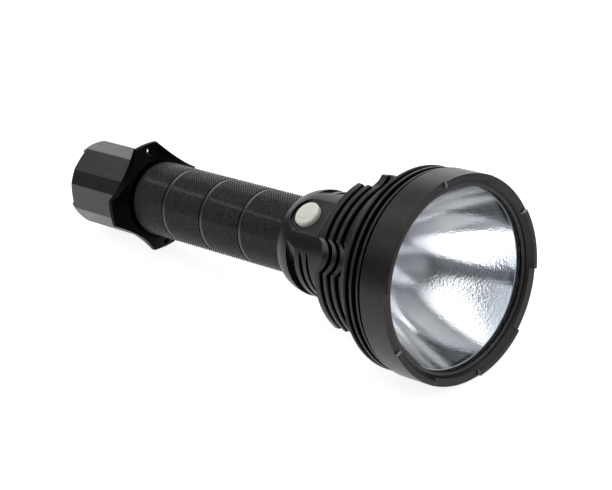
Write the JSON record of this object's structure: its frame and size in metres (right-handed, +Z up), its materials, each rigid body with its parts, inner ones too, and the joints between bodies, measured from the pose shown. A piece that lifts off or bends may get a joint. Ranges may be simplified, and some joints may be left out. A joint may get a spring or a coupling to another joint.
{
  "type": "flashlight",
  "caption": "Large long-throw flashlight with a crowned bezel, finned head, side button, knurled battery tube, eared tail ring and faceted screw-off tail cap.",
  "frame": {"origin": "on the surface the flashlight lies on, under the middle of its bounding box", "axes": "+X runs with the beam from tail to bezel, with the beam raised by the resting slope of 5.53 degrees; +Z up; +Y to the right seen from in front of the bezel"},
  "size_m": [0.2556, 0.09, 0.0914],
  "materials": {
    "black_anodised": "satin black hard anodised",
    "black_anodised_grip": "diamond knurled black anodised",
    "black_anodised_cap": "satin black hard anodised",
    "gloss_black": "deep black anodised with a smooth gloss",
    "seal_rubber": "smooth black",
    "lens_glass": "clear with a faint blue coating",
    "reflector_skin": "mirror coated with a dimpled skin",
    "white_plastic": "white",
    "copper": "bare copper",
    "board_white": "white solder mask",
    "emitter": "yellow phosphor",
    "dome": "clear silicone",
    "steel": "plain steel",
    "red_insulation": "red",
    "yellow_insulation": "yellow",
    "board_green": "green solder mask",
    "black_plastic": "black moulding",
    "brass": "turned brass",
    "gilt_spring": "gilt wire",
    "gilt_contact": "gilt plate",
    "pale_button": "pale translucent silicone",
    "switch_ring_black": "black anodised",
    "cell_wrap": null,
    "cell_metal": "plated terminal"
  },
  "bodies": {
    "housing": {"bezel_ring": "black_anodised", "bezel_seal": "seal_rubber", "lens": "lens_glass", "lens_seal": "seal_rubber", "reflector": "reflector_skin", "reflector_insulator": "white_plastic", "led_post": "copper", "led_board": "board_white", "led_emitter": "emitter", "led_dome": "dome", "led_board_screws": "steel", "led_leads": "red_insulation", "head_body": "black_anodised", "driver_board": "board_green", "driver_components": "black_plastic", "driver_lock_ring": "brass", "front_spring": "gilt_spring", "switch_lock_ring": "switch_ring_black", "tactile_switch": "black_plastic", "switch_board": "board_green", "switch_leads": "yellow_insulation", "battery_tube": "black_anodised_grip", "tube_front_seal": "seal_rubber", "tube_rear_seal": "seal_rubber", "cell_front": "cell_wrap", "cell_rear": "cell_wrap", "cell_terminals": "cell_metal"},
    "button": {"switch_button": "pale_button", "switch_stem": "white_plastic"},
    "tail_ring_body": {"tail_ring": "gloss_black"},
    "tail_carrier": {"tail_contact_disc": "gilt_contact", "tail_spring": "gilt_spring"},
    "tail_cap_body": {"tail_cap": "black_anodised_cap", "tail_lock_ring": "brass"}
  },
  "joints": [
    {"name": "button_press", "type": "slide", "parent": "housing", "child": "button", "axis": [0.0808, 0.5446, -0.8348], "range_m": [0, 0.0005], "stiffness_N_per_m": 5000},
    {"name": "tail_ring_turn", "type": "hinge", "parent": "housing", "child": "tail_ring_body", "pos_m": [-0.07983, 0, 0.02659], "axis": [-0.9954, 0, -0.0963], "continuous": true},
    {"name": "tail_cap_travel", "type": "slide", "parent": "housing", "child": "tail_carrier", "axis": [-0.9954, 0, -0.0963], "range_m": [0, 0.012]},
    {"name": "tail_cap_turn", "type": "hinge", "parent": "tail_carrier", "child": "tail_cap_body", "pos_m": [-0.08332, 0, 0.02625], "axis": [-0.9954, 0, -0.0963], "range_deg": [0, 2880]}
  ],
  "couplings": [
    {"joint": "tail_cap_travel", "follows": "tail_cap_turn", "m_per_rad": 0.00023873}
  ]
}
